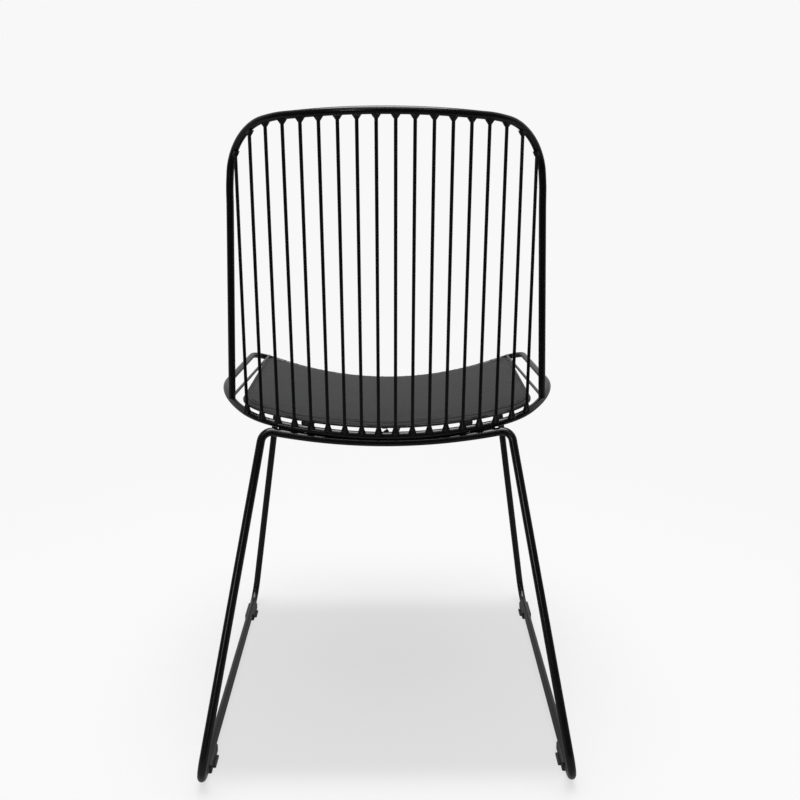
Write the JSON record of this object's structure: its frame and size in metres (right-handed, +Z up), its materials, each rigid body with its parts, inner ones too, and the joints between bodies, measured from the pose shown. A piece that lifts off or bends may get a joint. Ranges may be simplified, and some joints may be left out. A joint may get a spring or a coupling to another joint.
{
  "type": "wire chair",
  "caption": "Dining chair of bent steel rod: dished wire seat and bowed wire back on a sled base, with a thin loose seat pad.",
  "frame": {"origin": "on the floor, under the centre of the chair's bounding box", "axes": "+Z up, the sitter faces -Y, +X is the sitter's left"},
  "size_m": [0.502, 0.5422, 0.82],
  "materials": {
    "black_powder_coat": "gloss black powder coat on steel",
    "glide_plastic": "black moulded nylon",
    "pad_leather": "soft grained dark grey imitation leather",
    "pad_backing": "black non-slip cloth",
    "pad_foam": "open-cell foam",
    "webbing": "woven black webbing",
    "zip_metal": "black lacquer"
  },
  "bodies": {
    "root": {"seat_ring": "black_powder_coat", "back_frame": "black_powder_coat", "sled_frame_left": "black_powder_coat", "sled_frame_right": "black_powder_coat", "back_seat_wire_01": "black_powder_coat", "back_seat_wire_02": "black_powder_coat", "back_seat_wire_03": "black_powder_coat", "back_seat_wire_04": "black_powder_coat", "back_seat_wire_05": "black_powder_coat", "back_seat_wire_06": "black_powder_coat", "back_seat_wire_07": "black_powder_coat", "back_seat_wire_08": "black_powder_coat", "back_seat_wire_09": "black_powder_coat", "back_seat_wire_10": "black_powder_coat", "back_seat_wire_11": "black_powder_coat", "back_seat_wire_12": "black_powder_coat", "back_seat_wire_13": "black_powder_coat", "back_seat_wire_14": "black_powder_coat", "back_seat_wire_15": "black_powder_coat", "back_seat_wire_16": "black_powder_coat", "back_seat_wire_17": "black_powder_coat", "back_seat_wire_18": "black_powder_coat", "side_seat_wire_left": "black_powder_coat", "side_seat_wire_right": "black_powder_coat", "rail_welds": "black_powder_coat", "ring_rear_welds": "black_powder_coat", "ring_front_welds": "black_powder_coat", "front_crossbar_welds": "black_powder_coat", "rear_crossbar_welds": "black_powder_coat", "upright_welds": "black_powder_coat", "rear_glide_left": "glide_plastic", "rear_glide_right": "glide_plastic", "front_glide_left": "glide_plastic", "front_glide_right": "glide_plastic", "pad_cover": "pad_leather", "pad_bottom_panel": "pad_backing", "pad_foam": "pad_foam", "pad_strap_left": "webbing", "pad_strap_right": "webbing", "zip_slider": "zip_metal", "zip_puller": "zip_metal"}
  },
  "joints": []
}
